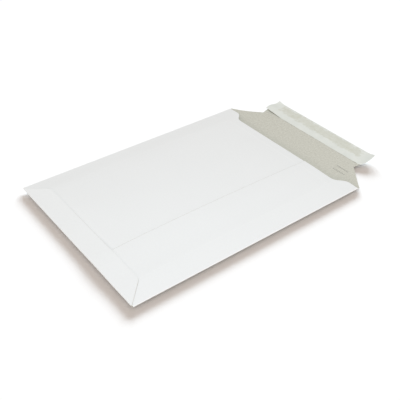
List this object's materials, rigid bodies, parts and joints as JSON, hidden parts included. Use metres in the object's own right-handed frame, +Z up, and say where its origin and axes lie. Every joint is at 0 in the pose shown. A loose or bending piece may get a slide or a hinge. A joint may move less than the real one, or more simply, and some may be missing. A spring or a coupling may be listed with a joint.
{
  "type": "cardboard envelope",
  "caption": "Flat board pocket envelope, white outside and grey inside, with a glued bottom, a lengthwise seam and an open closing flap whose adhesive band is still under its liner.",
  "frame": {"origin": "middle of the flat outer face of the back panel, on the surface that the envelope lies on", "axes": "+X across the envelope, +Y from the glued bottom to the mouth and the open flap, +Z up out of the front panel"},
  "size_m": [0.25, 0.4045, 0.0104],
  "materials": {
    "board": "white-lined solid board, grey inside, matt",
    "adhesive": "clear straw-coloured hot-melt, tacky gloss",
    "liner_paper": "thin silicone-coated release paper, soft sheen"
  },
  "bodies": {
    "pocket": {"envelope_pocket": "board"},
    "flap": {"closing_flap": "board", "adhesive_strip": "adhesive", "release_liner": "liner_paper"}
  },
  "joints": [
    {"name": "flap_crease", "type": "hinge", "parent": "pocket", "child": "flap", "pos_m": [0, 0.1715, 0.0038], "axis": [1, 0, 0], "range_deg": [0, 168]}
  ]
}
